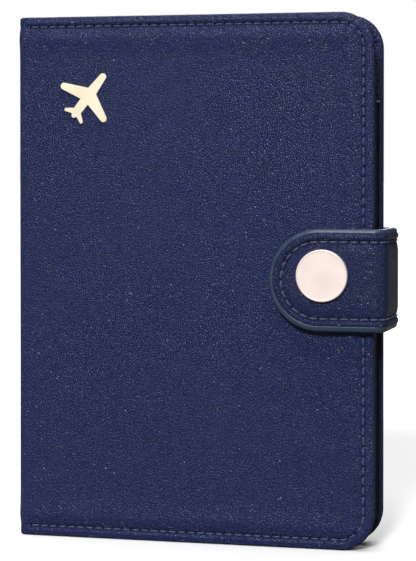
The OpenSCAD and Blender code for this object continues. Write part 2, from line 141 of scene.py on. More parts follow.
def wrap_strap(side):
    """Round the fore edge: side is -1 for the tongue's half and 1 for the root's half."""
    def wrap(u, z, h):
        u, z, h = np.broadcast_arrays(u, z, h)
        turn = np.clip((u - HALF_BRIDGE) / STRAP_R, 0, HALF_PI)
        past = np.maximum(u - STRAP_FLAT_U, 0)
        x = BEND_X + (STRAP_R + h) * np.cos(turn) - past
        y = BRIDGE_Y + side * (np.minimum(u, HALF_BRIDGE) + (STRAP_R + h) * np.sin(turn))
        return np.stack([x, y, z], -1)
    return wrap


def wrap_flat(y, side):
    """An upright plane at y, facing -Y for side -1 and +Y for side 1; u is x."""
    def wrap(u, z, h):
        u, z, h = np.broadcast_arrays(u, z, h)
        return np.stack([u, y + side * h, z], -1)
    return wrap


# ---- meshes ----

def smooth_step(x, a, b):
    """0 below a, 1 above b and a smooth rise between them."""
    t = np.clip((np.asarray(x, float) - a) / (b - a), 0, 1)
    return t * t * (3 - 2 * t)


def finish_mesh(name, bm, material, cap_open=False):
    """Turns a bmesh into a smooth object with one material."""
    bmesh.ops.remove_doubles(bm, verts=bm.verts, dist=MERGE)
    if cap_open:
        rim = [e for e in bm.edges if e.is_boundary]
        made = bmesh.ops.holes_fill(bm, edges=rim, sides=0)["faces"]
        for face in made:
            for edge in face.edges:
                edge.smooth = False
    bmesh.ops.recalc_face_normals(bm, faces=bm.faces)
    for face in bm.faces:
        face.smooth = True
    mesh = bpy.data.meshes.new(name)
    bm.to_mesh(mesh)
    bm.free()
    mesh.materials.append(material)
    made = bpy.data.objects.new(name, mesh)
    bpy.context.scene.collection.objects.link(made)
    return made


class Grower:
    """Collects vertices, each with its place on the flat leather, and faces."""

    def __init__(self):
        self.bm = bmesh.new()
        self.flat = self.bm.verts.layers.float_vector.new("surf")

    def add(self, wrap, u, z, h):
        """New vertices at (u, z, h)."""
        u, z, h = np.broadcast_arrays(u, z, h)
        made = []
        for p, f in zip(wrap(u, z, h) * MM, np.stack([u, z, h], -1) * MM):
            vert = self.bm.verts.new(p)
            vert[self.flat] = f
            made.append(vert)
        return made

    def face(self, verts):
        """A face, if its corners are three or more different vertices."""
        kept = []
        for v in verts:
            if v not in kept:
                kept.append(v)
        if len(kept) > 2 and not self.bm.faces.get(kept):
            self.bm.faces.new(kept)

    def strip(self, a, b, closed=False):
        """Quads between two rows of as many vertices."""
        n = len(a)
        for k in range(n if closed else n - 1):
            m = (k + 1) % n
            self.face([a[k], a[m], b[m], b[k]])


class Outline:
    """Three closed sides of a sheet that is open at tops[0]: along the top, round an end with
    corners of radius r, and back along the bottom. line is the place along the stitch line,
    counted in stitches; cells are the coarse steps and each has FINE columns."""

    def __init__(self, tops, z0, z1, r, arc_cells, side_cells, arc_stitches, first_stitch):
        self.tops, self.z0, self.z1, self.r = list(tops), z0, z1, r
        self.sides = np.linspace(z1 - r, z0 + r, side_cells + 1)
        columns = []

        def column(u, z, nu, nz, line):
            columns.append((u, z, nu, nz, line))

        def round_corner(centre_z, turn, start):
            """Columns round a corner; turn gives the angle at a share of the way."""
            for k in range(arc_cells * FINE):
                share = k / (arc_cells * FINE)
                a = turn(share)
                column(cu + r * math.cos(a), centre_z + r * math.sin(a),
                       -math.cos(a), -math.sin(a), start + arc_stitches * share)

        cu = self.tops[-1]
        n_top = len(self.tops) - 1
        tops_fine = np.interp(np.arange(n_top * FINE + 1) / FINE, range(n_top + 1), self.tops)
        for k, x in enumerate(tops_fine[:-1]):
            column(x, z1, 0.0, -1.0, k / FINE - first_stitch)
        start = n_top - first_stitch
        round_corner(z1 - r, lambda share: HALF_PI * (1 - share), start)
        start += arc_stitches
        side_z = z0 + 2 * r - z1
        for k in range(side_cells * FINE):
            column(cu + r, z1 - r + side_z * k / (side_cells * FINE), -1.0, 0.0, start + k / FINE)
        start += side_cells
        round_corner(z0 + r, lambda share: -HALF_PI * share, start)
        start += arc_stitches
        for k, x in enumerate(tops_fine[::-1]):
            column(x, z0, 0.0, 1.0, start + k / FINE)
        self.stitches = int(round(start + n_top - first_stitch))
        self.u, self.z, self.nu, self.nz, self.line = map(np.array, zip(*columns))

    def inset(self, d):
        """Columns moved inward by d."""
        return self.u + d * self.nu, self.z + d * self.nz


def shell(name, outline, rings, wrap, material):
    """A closed sheet. Its rings run from the middle of the outer face over the edge to the
    middle of the inner face; each is (inset, height function, fine)."""
    g = Grower()
    rows = []
    for inset, height, fine in rings:
        u, z = outline.inset(inset)
        h = height(u, z, outline.line, inset)
        h = np.broadcast_to(h, u.shape)
        step = 1 if fine else FINE
        rows.append((g.add(wrap, u[::step], z[::step], h[::step]), fine))
    for (a, fine_a), (b, fine_b) in zip(rows[:-1], rows[1:]):
        if fine_a == fine_b:
            g.strip(a, b)
            continue
        many, few = (a, b) if fine_a else (b, a)
        for k in range(len(few) - 1):
            g.face(many[k * FINE:(k + 1) * FINE + 1] + [few[k + 1], few[k]])
    for inset, height, _ in (rings[0], rings[-1]):
        zs = outline.sides
        if len(zs) < 2 or zs[0] - zs[-1] < MERGE:
            continue
        grid = []
        for zz in zs:
            u = np.array(outline.tops)
            z = np.full(len(u), zz)
            grid.append(g.add(wrap, u, z, np.broadcast_to(height(u, z, None, inset), u.shape)))
        for a, b in zip(grid[:-1], grid[1:]):
            g.strip(a, b)
    return finish_mesh(name, g.bm, material, cap_open=True)


def band(name, outline, profile, wrap, material):
    """A closed section swept along the outline; profile gives (inset, height) of each corner,
    as numbers or as arrays over the columns."""
    g = Grower()
    rows = []
    for inset, height in profile:
        u, z = outline.inset(inset)
        rows.append(g.add(wrap, u, z, np.broadcast_to(height, u.shape)))
    for a, b in zip(rows, rows[1:] + rows[:1]):
        g.strip(a, b)
    return finish_mesh(name, g.bm, material, cap_open=True)


def threads(name, spans, wrap, material, radius=THREAD_R, top=0.0, drop=0.42):
    """Stitches that arch out of their holes. A span is a function of 0..1 that gives (u, z)."""
    g = Grower()
    steps = np.linspace(0, 1, 10)
    around = np.linspace(0, 2 * math.pi, 8, endpoint=False)
    for span in spans:
        u, z = span(steps)
        arch = np.abs(2 * steps - 1) ** 3.5
        h = top - drop * arch
        centre = wrap(u, z, h)
        out = wrap(u, z, h + 1.0) - centre
        along = np.gradient(centre, axis=0)
        along /= np.linalg.norm(along, axis=1)[:, None]
        across = np.cross(along, out)
        across /= np.linalg.norm(across, axis=1)[:, None]
        out = np.cross(across, along)
        thick = radius * (1 - 0.28 * arch)
        rows = []
        for c, o, w, t, uu, zz in zip(centre, out, across, thick, u, z):
            points = c + t * (np.outer(np.cos(around), o) + np.outer(np.sin(around), w))
            row = []
            for p, a in zip(points * MM, around):
                vert = g.bm.verts.new(p)
                vert[g.flat] = (uu * MM, zz * MM, a * radius * MM)
                row.append(vert)
            rows.append(row)
        for a, b in zip(rows[:-1], rows[1:]):
            g.strip(a, b, closed=True)
        g.bm.faces.new(rows[0])
        g.bm.faces.new(rows[-1][::-1])
    return finish_mesh(name, g.bm, material)


def line_spans(outline, inset, first, last, gap=STITCH_GAP):
    """Spans of the stitches first..last-1 along an outline's stitch line."""
    u, z = outline.inset(inset)

    def make(i):
        def span(s):
            t = i + gap + (1 - 2 * gap) * s
            return np.interp(t, outline.line, u), np.interp(t, outline.line, z)
        return span
    return [make(i) for i in range(first, last)]


def row_spans(x0, z0, x1, z1, pitch=ROW_STITCH_PITCH, gap=ROW_STITCH_GAP):
    """Spans of a straight row of stitches."""
    count = max(1, int(math.hypot(x1 - x0, z1 - z0) // pitch))

    def make(i):
        def span(s):
            t = (i + gap + (1 - 2 * gap) * s) / count
            return x0 + (x1 - x0) * t, z0 + (z1 - z0) * t
        return span
    return [make(i) for i in range(count)]


def slab_piece(name, corners, y_out, y_in, material, rounding=0.18):
    """A thin upright sheet with round edges between two planes. corners is a closed outline of
    (x, z) points walked anticlockwise."""
    g = Grower()
    p = np.array(corners, float)
    before, after = np.roll(p, 1, 0), np.roll(p, -1, 0)
    d1, d2 = p - before, after - p
    d1 /= np.linalg.norm(d1, axis=1)[:, None]
    d2 /= np.linalg.norm(d2, axis=1)[:, None]
    n1, n2 = np.stack([-d1[:, 1], d1[:, 0]], 1), np.stack([-d2[:, 1], d2[:, 0]], 1)
    n = n1 + n2
    n /= np.maximum((n * n1).sum(1), 0.3)[:, None]
    half = (y_in - y_out) / 2
    mid = (y_in + y_out) / 2
    wrap = wrap_flat(mid, 1)
    rows = []
    for a in np.linspace(-HALF_PI, HALF_PI, 7):
        q = p + n * rounding * (1 - math.cos(a))
        rows.append(g.add(wrap, q[:, 0], q[:, 1], np.full(len(q), half * math.sin(a))))
    for a, b in zip(rows[:-1], rows[1:]):
        g.strip(a, b, closed=True)
    g.bm.faces.new(rows[0])
    g.bm.faces.new(rows[-1])
    made = finish_mesh(name, g.bm, material)
    flat_big_faces(made)
    return made


def flat_big_faces(obj):
    """Faces of many corners are flat, and their rims are sharp for shading."""
    mesh = obj.data
    for poly in mesh.polygons:
        if poly.loop_total > 12:
            poly.use_smooth = False


# ---- outlines drawn in X and Z ----

def arc_points(x, z, r, a0, a1, n=10):
    """Points of an arc, angles in degrees."""
    return [(x + r * math.cos(math.radians(a)), z + r * math.sin(math.radians(a)))
            for a in np.linspace(a0, a1, n)]


def pocket_corners(x0, x1, z0, z1, r_bottom, r_small=0.6):
    """A pocket: a large round corner at the bottom of the fore edge, small ones elsewhere."""
    return (arc_points(x0 + r_small, z0 + r_small, r_small, 180, 270, 4)
            + arc_points(x1 - r_bottom, z0 + r_bottom, r_bottom, 270, 360, 14)
            + arc_points(x1 - r_small, z1 - r_small, r_small, 0, 90, 4)
            + arc_points(x0 + r_small, z1 - r_small, r_small, 90, 180, 4))


# ---- materials ----

class Nodes:
    """A material's node tree with short calls to add to it."""

    def __init__(self, name):
        self.material = bpy.data.materials.new(name)
        self.material.use_nodes = True
        self.tree = self.material.node_tree
        self.shader = self.tree.nodes["Principled BSDF"]

    def add(self, kind, **settings):
        made = self.tree.nodes.new(kind)
        for key, value in settings.items():
            setattr(made, key, value)
        return made

    def link(self, a, b):
        self.tree.links.new(a, b)

    def set(self, **values):
        """Constants on the shader's own sockets; underscores stand for spaces."""
        for key, value in values.items():
            self.shader.inputs[key.replace("_", " ")].default_value = value

    def place(self, on_sheet):
        """Place on the flat sheet, or in the row frame."""
        if on_sheet:
            return self.add("ShaderNodeAttribute", attribute_name="surf").outputs["Vector"]
        return self.add("ShaderNodeTexCoord").outputs["Object"]

    def noise(self, vector, scale, detail=2.0, rough=0.5):
        made = self.add("ShaderNodeTexNoise")
        made.inputs["Scale"].default_value = scale
        made.inputs["Detail"].default_value = detail
        made.inputs["Roughness"].default_value = rough
        self.link(vector, made.inputs["Vector"])
        return made.outputs["Fac"]

    def voronoi(self, vector, scale, feature="F1", randomness=1.0):
        made = self.add("ShaderNodeTexVoronoi", feature=feature)
        made.inputs["Scale"].default_value = scale
        made.inputs["Randomness"].default_value = randomness
        self.link(vector, made.inputs["Vector"])
        return made.outputs["Distance"]

    def wave(self, vector, scale, distortion=0.0, direction="X"):
        made = self.add("ShaderNodeTexWave", bands_direction=direction)
        made.inputs["Scale"].default_value = scale
        made.inputs["Distortion"].default_value = distortion
        self.link(vector, made.inputs["Vector"])
        return made.outputs["Fac"]

    def ramp(self, value, low, high, a=0.0, b=1.0):
        """Maps value from low..high to a..b."""
        made = self.add("ShaderNodeMapRange")
        made.inputs["From Min"].default_value = low
        made.inputs["From Max"].default_value = high
        made.inputs["To Min"].default_value = a
        made.inputs["To Max"].default_value = b
        self.link(value, made.inputs["Value"])
        return made.outputs["Result"]

    def math(self, operation, a, b):
        made = self.add("ShaderNodeMath", operation=operation)
        for socket, value in zip(made.inputs, (a, b)):
            if isinstance(value, (int, float)):
                socket.default_value = value
            else:
                self.link(value, socket)
        return made.outputs[0]

    def mix(self, factor, a, b):
        """Mixes two colours, each a tuple or a socket."""
        made = self.add("ShaderNodeMix", data_type="RGBA")
        self.link(factor, made.inputs["Factor"])
        for key, value in (("A", a), ("B", b)):
            socket = [s for s in made.inputs if s.name == key and s.type == "RGBA"][0]
            if isinstance(value, tuple):
                socket.default_value = (*value, 1)
            else:
                self.link(value, socket)
        return [s for s in made.outputs if s.type == "RGBA"][0]

    def colour(self, socket):
        self.link(socket, self.shader.inputs["Base Color"])

    def rough(self, socket):
        self.link(socket, self.shader.inputs["Roughness"])

    def bump(self, height, depth_mm, strength=1.0, base=None):
        """Bump of the given depth; base is another bump under it."""
        made = self.add("ShaderNodeBump")
        made.inputs["Strength"].default_value = strength
        made.inputs["Distance"].default_value = depth_mm * MM
        self.link(height, made.inputs["Height"])
        if base is not None:
            self.link(base, made.inputs["Normal"])
        return made.outputs["Normal"]

    def normal(self, socket):
        self.link(socket, self.shader.inputs["Normal"])


def shade(colour, factor):
    """A lighter or darker colour."""
    return tuple(min(1.0, c * factor) for c in colour)


def leather(name, colour, on_sheet=True, pebble_mm=0.56, depth_mm=0.13, rough=0.36, spec=0.36):
    """Fine pebbled leather: speckles of grain tone with painted highlights and painted shade,
    painted shade in the creases between the grains, faint mottling, and painted shade in the
    needle holes where the face dips deepest. Edges and the inner side, which lie deeper than
    any hole, keep the leather's colour."""
    n = Nodes(name)
    at = n.place(on_sheet)
    bend = n.add("ShaderNodeTexNoise")
    bend.inputs["Scale"].default_value = 900
    n.link(at, bend.inputs["Vector"])
    shift = n.add("ShaderNodeVectorMath", operation="SCALE")
    shift.inputs["Scale"].default_value = 0.00026
    n.link(bend.outputs["Color"], shift.inputs[0])
    moved = n.add("ShaderNodeVectorMath", operation="ADD")
    n.link(at, moved.inputs[0])
    n.link(shift.outputs[0], moved.inputs[1])
    grains = n.voronoi(moved.outputs[0], 1000 / pebble_mm, "SMOOTH_F1")
    creases = n.voronoi(moved.outputs[0], 1000 / pebble_mm, "DISTANCE_TO_EDGE")
    open_grain = n.ramp(creases, 0.0, 0.2)
    fine = n.noise(at, 3000, 2)
    slow = n.noise(at, 55, 2)
    mottled = n.mix(n.ramp(slow, 0.3, 0.7), shade(colour, 0.94), shade(colour, 1.06))
    # Speckles from 0.5 to 1.7 times the colour: grain tone with painted highlights and painted
    # shade.
    speckle_with_painted_glints = n.mix(n.ramp(fine, 0.42, 0.62), shade(colour, 0.50), shade(colour, 1.70))
    toned = n.add("ShaderNodeMix", data_type="RGBA")
    toned.inputs["Factor"].default_value = 0.6
    sockets = [x for x in toned.inputs if x.type == "RGBA"]
    n.link(mottled, sockets[0])
    n.link(speckle_with_painted_glints, sockets[1])
    grain_tone = [x for x in toned.outputs if x.type == "RGBA"][0]
    # Painted shade: the creases between the grains are darkened to 0.3 of the colour.
    tone_with_painted_shade = n.mix(open_grain, shade(colour, 0.30), grain_tone)
    if on_sheet:
        parts = n.add("ShaderNodeSeparateXYZ")
        n.link(at, parts.inputs[0])
        # Painted shade in the needle holes: the colour goes dark where the face dips deep, but not
        # on edges and the inner side that lie deeper than any hole.
        hole_shade_mask = n.ramp(parts.outputs["Z"], -HOLE_DARK_FROM * MM, -HOLE_LIGHT_ABOVE * MM)
        off_face = n.math("LESS_THAN", parts.outputs["Z"], -HOLE_DEEPEST * MM)
        tone_with_painted_shade = n.mix(n.math("MAXIMUM", hole_shade_mask, off_face), shade(colour, 0.06), tone_with_painted_shade)
    n.colour(tone_with_painted_shade)
    n.rough(n.ramp(n.noise(at, 1500, 1), 0.3, 0.7, rough - 0.07, rough + 0.09))
    dome = n.math("SUBTRACT", open_grain, n.math("MULTIPLY", grains, 0.9))
    under = n.bump(fine, depth_mm * 0.35)
    n.normal(n.bump(dome, depth_mm, base=under))
    n.set(Specular_IOR_Level=spec)
    return n.material


def painted_edge(name, colour):
    """Smooth edge paint with faint brush waves."""
    n = Nodes(name)
    at = n.place(True)
    slow = n.noise(at, 260, 2)
    n.colour(n.mix(n.ramp(slow, 0.3, 0.7), shade(colour, 0.88), shade(colour, 1.12)))
    n.rough(n.ramp(slow, 0.3, 0.7, 0.30, 0.42))
    n.normal(n.bump(n.noise(at, 700, 2), 0.05))
    n.set(Specular_IOR_Level=0.5)
    return n.material


def thread_material(name, colour, on_sheet=True):
    """Twisted bonded thread."""
    n = Nodes(name)
    at = n.place(on_sheet)
    twist = n.wave(at, 420, 0.0, "DIAGONAL")
    fuzz = n.noise(at, 7000, 2)
    n.colour(n.mix(twist, shade(colour, 0.7), shade(colour, 1.2)))
    n.rough(n.ramp(fuzz, 0.2, 0.8, 0.42, 0.6))
    n.normal(n.bump(twist, 0.06, base=n.bump(fuzz, 0.02)))
    n.set(Sheen_Weight=0.25)
    return n.material


def cloth(name, colour):
    """Fine plain weave."""
    n = Nodes(name)
    at = n.place(True)
    warp = n.wave(at, 620, 0.4, "X")
    weft = n.wave(at, 620, 0.4, "Y")
    woven = n.math("MULTIPLY", warp, weft)
    slow = n.noise(at, 80, 2)
    tone = n.mix(n.ramp(slow, 0.3, 0.7), shade(colour, 0.9), shade(colour, 1.1))
    n.colour(n.mix(woven, shade(colour, 0.66), tone))
    n.rough(n.ramp(slow, 0.3, 0.7, 0.75, 0.88))
    n.normal(n.bump(woven, 0.06))
    n.set(Sheen_Weight=0.3)
    return n.material


def metal(name, colour, metallic, rough, line_mm=0.12):
    """Plated metal with faint turning and handling marks."""
    n = Nodes(name)
    at = n.place(False)
    marks = n.noise(at, 1000 / line_mm, 2)
    slow = n.noise(at, 180, 2)
    n.colour(n.mix(n.ramp(slow, 0.3, 0.7), shade(colour, 0.97), shade(colour, 1.02)))
    n.rough(n.ramp(slow, 0.3, 0.7, rough - 0.04, rough + 0.05))
    n.normal(n.bump(marks, 0.004))
    n.set(Metallic=metallic)
    return n.material


def cardboard(name, colour):
    """Grey-brown board with fibres."""
    n = Nodes(name)
    at = n.place(False)
    fibres = n.noise(at, 1800, 4, 0.7)
    n.colour(n.mix(fibres, shade(colour, 0.8), shade(colour, 1.15)))
    n.rough(n.ramp(fibres, 0.3, 0.7, 0.8, 0.92))
    n.normal(n.bump(fibres, 0.05))
    return n.material


def foam(name, colour):
    """Closed-cell foam."""
    n = Nodes(name)
    at = n.place(True)
    cells = n.voronoi(at, 2200)
    n.colour(n.mix(cells, shade(colour, 1.05), shade(colour, 0.85)))
    n.rough(n.ramp(cells, 0, 1, 0.85, 0.95))
    n.normal(n.bump(cells, 0.08))
    return n.material


def clear_film(name, colour):
    """Clear window film with faint waves."""
    n = Nodes(name)
    at = n.place(False)
    waves = n.noise(at, 90, 2)
    n.colour(n.mix(waves, shade(colour, 0.97), colour))
    n.rough(n.ramp(waves, 0.3, 0.7, 0.08, 0.14))
    n.normal(n.bump(waves, 0.15))
    n.set(Transmission_Weight=0.9, IOR=1.2, Alpha=0.4)
    return n.material


NAVY = (0.0160, 0.0260, 0.1120)
STRAP_NAVY = (0.0120, 0.0210, 0.0900)
POCKET_NAVY = (0.0190, 0.0250, 0.0680)
LINING_NAVY = (0.0210, 0.0262, 0.0612)
EDGE_BLUE = (0.0290, 0.0480, 0.0900)
THREAD_BLUE = (0.0420, 0.0570, 0.1450)
# Painted shadow: the gusset's navy is much darker than the pocket leather so that it stands in for
# the shade in the gap between the covers.
GUSSET_SHADOW_NAVY = (0.0080, 0.0110, 0.0300)

COVER_LEATHER = leather("cover_leather_grain", NAVY)
STRAP_LEATHER = leather("strap_leather_grain", STRAP_NAVY, pebble_mm=0.5, depth_mm=0.11,
                        rough=0.37, spec=0.32)
STRAP_LINING = leather("strap_lining_grain", shade(STRAP_NAVY, 0.8), rough=0.6, depth_mm=0.04)
POCKET_LEATHER = leather("pocket_leather_grain", POCKET_NAVY, pebble_mm=0.42, depth_mm=0.05)
GUSSET_SHADOW_LEATHER = leather("gusset_painted_shadow_grain", GUSSET_SHADOW_NAVY, pebble_mm=0.5, depth_mm=0.06)
LINING_CLOTH = cloth("lining_weave", LINING_NAVY)
EDGE_PAINT = painted_edge("edge_paint_coat", EDGE_BLUE)
THREAD = thread_material("thread_twist", THREAD_BLUE)
PALE_THREAD = thread_material("bartack_thread", (0.16, 0.19, 0.30))
BOARD = cardboard("board_fibre", (0.4793, 0.3968, 0.2623))
FOAM = foam("foam_cells", (0.6867, 0.6724, 0.624))
FILM = clear_film("window_film_clear", (0.74, 0.80, 0.855))
ROSE_GOLD = metal("rose_gold_satin", (0.92, 0.78, 0.72), 0.25, 0.38)
PALE_GOLD = metal("pale_gold_satin", (0.98, 0.87, 0.66), 0.25, 0.36)
STEEL = metal("steel_plain", (0.485, 0.468, 0.434), 1.0, 0.32)


# ---- covers ----

def inner_depth(u):
    """Depth of the inner face of the cover under its outer face."""
    knots = [HALF_SPINE - 1.5, HALF_SPINE + FOLD_ARC / 2, FLAT_U + 2.5]
    return np.interp(u, knots, [SPINE_T, 1.75, COVER_T])


def cover_crown(u, z, inset):
    """Puffed height of the outer leather inside the stitch line."""
    low = np.minimum(z, COVER_H - z)
    edge = np.minimum(low, COVER_U1 - u)
    edge = np.maximum(edge, inset)
    rise = 0.22 * smooth_step(edge, STITCH_IN, STITCH_IN + 3.0)
    rise = rise + 0.40 * np.exp(-((edge - STITCH_IN - 3.4) / 2.5) ** 2) * (edge > STITCH_IN)
    waves = 0.05 * np.sin(0.11 * u + 0.7) * np.sin(0.083 * z + 0.4)
    fade = 0.35 + 0.65 * smooth_step(u, FLAT_U - 1, FLAT_U + 7)
    return (rise + waves * smooth_step(edge, 4, 12)) * fade - 0.02


def cover_face(u, z, line, inset):
    """Height of the outer leather: rim, stitch valley with holes, and crown."""
    h = cover_crown(u, z, inset)
    fold = 1 - smooth_step(u, FLAT_U - 0.5, FLAT_U + 0.9)
    rim = 0.20 * np.exp(-((inset - 1.7) / 0.6) ** 2)
    valley = -0.34 * np.exp(-((inset - STITCH_IN) / 0.48) ** 2)
    h = h + rim * (1 - fold) + valley * (1 - 0.8 * fold)
    if line is not None:
        near = np.abs(line - np.round(line)) * STITCH_PITCH
        hole = np.exp(-(near ** 2 + (inset - STITCH_IN) ** 2) / HOLE_R ** 2)
        h = h - HOLE_DEPTH * hole * (1 - fold)
    return h


def cover_edge(share, a_in=0.95):
    """A ring of the rolled edge; share runs from -1 at the outer face to 1 at the inner."""
    angle = share * HALF_PI
    power = 2 / 2.5
    inset = a_in * (1 - abs(math.cos(angle)) ** power)
    drop = math.copysign(abs(math.sin(angle)) ** power, share)

    def height(u, z, line, _):
        return -inner_depth(u) / 2 * (1 + drop)
    return inset, height, True


def pleat_height(angle_deg, inset, seed):
    """Gathers of the hem round a corner: folds that open towards the lining."""
    rng = random.Random(seed)
    total = np.zeros_like(angle_deg)
    for i in range(8):
        at = 7 + 76 * (i + 0.5) / 8 + rng.uniform(-2.4, 2.4)
        deep = rng.uniform(0.7, 1.0)
        total -= 0.26 * deep * np.exp(-((angle_deg - at) / 2.3) ** 2)
        total += 0.95 * deep * np.exp(-((angle_deg - at - 4.6) / 2.6) ** 2)
    return total * smooth_step(inset, 0.25, 1.5)


def hem_face(u, z, line, inset):
    """Height of the turned hem on the inner side, with pleats at the corners."""
    h = -inner_depth(u) - 0.04 * smooth_step(inset, 0.9, 1.4)
    cu = COVER_U1 - CORNER_R
    pleats = np.zeros_like(u)
    for centre, sign, seed in ((COVER_H - CORNER_R, 1, 5), (CORNER_R, -1, 11)):
        angle = np.degrees(np.arctan2(sign * (z - centre), u - cu))
        inside = (u >= cu) & (sign * (z - centre) >= 0)
        pleats = pleats + np.where(inside, pleat_height(angle, inset, seed), 0)
    return h - pleats


def cover_rings():
    """Rings of a cover's leather, from the middle of its face to the middle of its inside."""
    def below(depth):
        return lambda u, z, line, inset: -np.full_like(u, depth)

    def under_lining(u, z, line, inset):
        return -inner_depth(u) + LINING_T + 0.06

    def under_face(u, z, line, inset):
        return np.minimum(cover_crown(u, z, inset), 0.1) - SKIN_T - 0.02 * (u < FLAT_U)
    rings = [(d, cover_face, False) for d in (CORNER_R, 7.8, 6.6, 5.6)]
    rings += [(d, cover_face, True) for d in (
        4.9, 4.3, 3.9, 3.6, 3.4, 3.24, 3.1, 3.0, 2.9, 2.8, 2.7, 2.56, 2.4, 2.2, 1.9, 1.5, 1.15)]
    rings += [cover_edge(s) for s in (-1, -0.9, -0.75, -0.55, -0.3, 0, 0.3, 0.55, 0.75, 0.9, 1)]
    rings += [(d, hem_face, True) for d in (1.15, 1.4, 1.65, 1.9, 2.15, HEM_W)]
    rings += [(HEM_W + 0.08, under_lining, True), (HEM_W, under_lining, False)]
    rings += [(d, under_lining, False) for d in (1.15,)]
    rings += [(d, under_face, False) for d in (1.15, 3.0, CORNER_R)]
    return rings


def cover_outline(inset=0.0):
    """The half of the wallet's leather from the middle of the spine to one fore edge."""
    first = FLAT_U + 1.2
    corner = COVER_U1 - CORNER_R
    tops = list(np.linspace(0, HALF_SPINE, 3)) + list(np.linspace(HALF_SPINE, FLAT_U, 9)[1:])
    tops.append(first)
    tops += list(np.linspace(first, corner, 34)[1:])
    lead = len(tops) - 34
    return Outline(tops, inset, COVER_H - inset, CORNER_R - inset, 8, 47, 4, lead)


def cover_half(side, body, names):
    """Leather, lining and stitching of one half; names are the CAD nodes each stands for."""
    word = "front" if side < 0 else "back"
    wrap = wrap_cover(side)
    outline = cover_outline()
    made = shell(f"{word}_cover_leather", outline, cover_rings(), wrap, COVER_LEATHER)
    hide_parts(*names["leather"])

    inner = cover_outline(HEM_W + 0.1)

    def top_side(u, z, line, inset):
        return -inner_depth(u) + LINING_T

    def low_side(u, z, line, inset):
        return -inner_depth(u) - 0.01
    r = CORNER_R - HEM_W - 0.1
    rings = [(d, top_side, False) for d in (r, 2, 0.1)]
    rings += [(0, lambda u, z, line, inset: -inner_depth(u) + LINING_T / 2, False)]
    rings += [(d, low_side, False) for d in (0.1, 2, r)]
    lining = shell(f"{word}_cover_lining", inner, rings, wrap, LINING_CLOTH)
    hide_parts(*names["lining"])

    spans = line_spans(outline, STITCH_IN, 0, outline.stitches)
    sewn = threads(f"{word}_cover_stitches", spans, wrap, THREAD, top=-0.04, drop=0.62)
    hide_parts(names["thread"])
    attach(sewn, body)

    for piece in (made, lining):
        if side < 0:
            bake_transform(piece)
        else:
            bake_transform(piece)
    return made, lining


def pad_piece(side, body, node):
    """Thin foam under the outer leather, crowned with it."""
    lo, hi = box_mm(node)
    word = "front" if side < 0 else "back"
    wrap = wrap_flat(FRONT_LO[1] if side < 0 else BACK_HI[1], side)
    inset = FORE_X - hi[0]
    r = CORNER_R - inset
    tops = np.linspace(lo[0], FORE_X - CORNER_R, 20)
    outline = Outline(tops, lo[2], hi[2], r, 2, 20, 2, 0)

    def upper(u, z, line, d):
        return -SKIN_T - 0.08 + 0.03 * smooth_step(d, 0, 3)

    def lower(u, z, line, d):
        return np.full_like(u, -1.38)
    rings = [(d, upper, False) for d in (r, 3, 1, 0.3)]
    rings += [(0, lambda u, z, line, d: np.full_like(u, -1.2), False)]
    rings += [(d, lower, False) for d in (0.3, r)]
    made = shell(f"{word}_cover_foam", outline, rings, wrap, FOAM)
    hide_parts(node)
    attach(made, body)
    return made


# ---- strap ----

def strap_outline(side):
    """Half of the strap, from the middle of the bridge to its end."""
    if side < 0:
        end = STRAP_FLAT_U + BEND_X - TONGUE_LO[0]
        r = STRAP_W / 2
        tops = np.linspace(0, end - r, 11)
        return Outline(tops, STRAP_Z0, STRAP_Z1, r, 6, 0, 6, 0)
    end = STRAP_FLAT_U + BEND_X - ROOT_LO[0]
    tops = np.linspace(0, end - ROOT_CORNER_R, 14)
    return Outline(tops, STRAP_Z0, STRAP_Z1, ROOT_CORNER_R, 2, 6, 2, 0)


def paint_inset(outline, top, bottom):
    """Where the leather's face meets the edge paint: wider along the bottom edge."""
    low = smooth_step(outline.z, STRAP_Z0, STRAP_Z0 + 0.6 * STRAP_W)
    return bottom + (top - bottom) * low


def strap_face(side):
    """Height function of the strap's outer leather."""
    def height(u, z, line, inset):
        h = 0.32 * smooth_step(inset, STRAP_STITCH_IN, STRAP_STITCH_IN + 3.2)
        h = h + 0.40 * np.exp(-((inset - 2.2) / 0.80) ** 2)
        h = h - 0.34 * np.exp(-((inset - STRAP_STITCH_IN) / 0.5) ** 2)
        h = h - 0.10 * (1 - smooth_step(inset, 1.0, 2.0))
        if side < 0:
            x = BEND_X - (u - STRAP_FLAT_U)
            reach = np.hypot(x - CAP_X, z - CAP_Z)
            h = h - 0.30 * (1 - smooth_step(reach, CAP_R - 0.6, CAP_R + 3.2)) * (u > STRAP_FLAT_U)
        if line is not None:
            near = np.abs(line - np.round(line)) * STRAP_STITCH_PITCH
            off = inset - STRAP_STITCH_IN
            h = h - STRAP_HOLE_DEPTH * np.exp(-(near ** 2 + off ** 2) / STRAP_HOLE_R ** 2)
        return h
    return height


